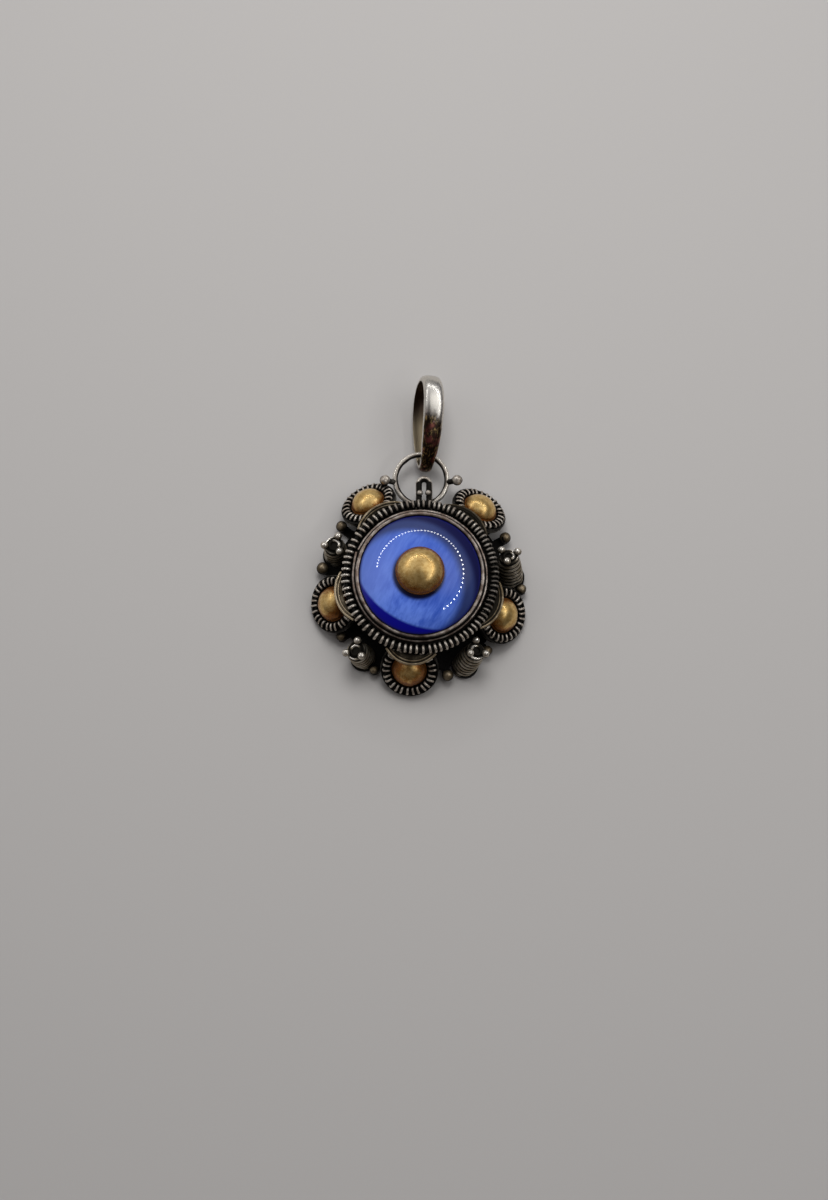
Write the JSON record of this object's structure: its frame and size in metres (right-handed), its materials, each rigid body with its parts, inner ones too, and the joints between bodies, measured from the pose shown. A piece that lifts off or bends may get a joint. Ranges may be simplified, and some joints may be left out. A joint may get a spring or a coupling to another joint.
{
  "type": "filigree pendant with a glass cabochon and a swinging bail",
  "caption": "Round silver filigree pendant with a domed blue glass stone, brass domes in coiled wire, wound turrets, small balls and a polished bail on a wire loop.",
  "frame": {"origin": "middle of the flat underside of the back plate, which the pendant lies on", "axes": "+Z out of the pendant's face, +Y towards the bail, +X to the wearer's left when the face is seen upright from the front"},
  "size_m": [0.0229, 0.0343, 0.0095],
  "materials": {
    "silver": "oxidised silver, bright on its high spots and black in its recesses",
    "dark_silver": "silver blackened with oxide",
    "stained_silver": "thin silver sheet stained brown",
    "bail_silver": "polished silver",
    "brass": "soft old polish with brown patina round the edges",
    "blue_glass": "polished striated blue glass, nearly opaque"
  },
  "bodies": {
    "pendant": {"base_plate": "silver", "bezel": "silver", "stone": "blue_glass", "center_dome": "brass", "main_coil": "silver", "main_core": "dark_silver", "loop": "silver", "staple": "silver", "petal_plate_1": "dark_silver", "petal_coil_1": "silver", "petal_dome_1": "brass", "crescent_1": "stained_silver", "petal_plate_2": "dark_silver", "petal_coil_2": "silver", "petal_dome_2": "brass", "crescent_2": "stained_silver", "petal_plate_3": "dark_silver", "petal_coil_3": "silver", "petal_dome_3": "brass", "crescent_3": "stained_silver", "petal_plate_4": "dark_silver", "petal_coil_4": "silver", "petal_dome_4": "brass", "crescent_4": "stained_silver", "petal_plate_5": "dark_silver", "petal_coil_5": "silver", "petal_dome_5": "brass", "crescent_5": "stained_silver", "turret_1": "silver", "turret_2": "silver", "turret_3": "silver", "turret_4": "silver"},
    "bail": {"bail": "bail_silver"}
  },
  "joints": [
    {"name": "bail_swing", "type": "hinge", "parent": "pendant", "child": "bail", "pos_m": [0.00047, 0.01405, 0.002], "axis": [1, 0, 0], "range_deg": [-132, 88]}
  ]
}
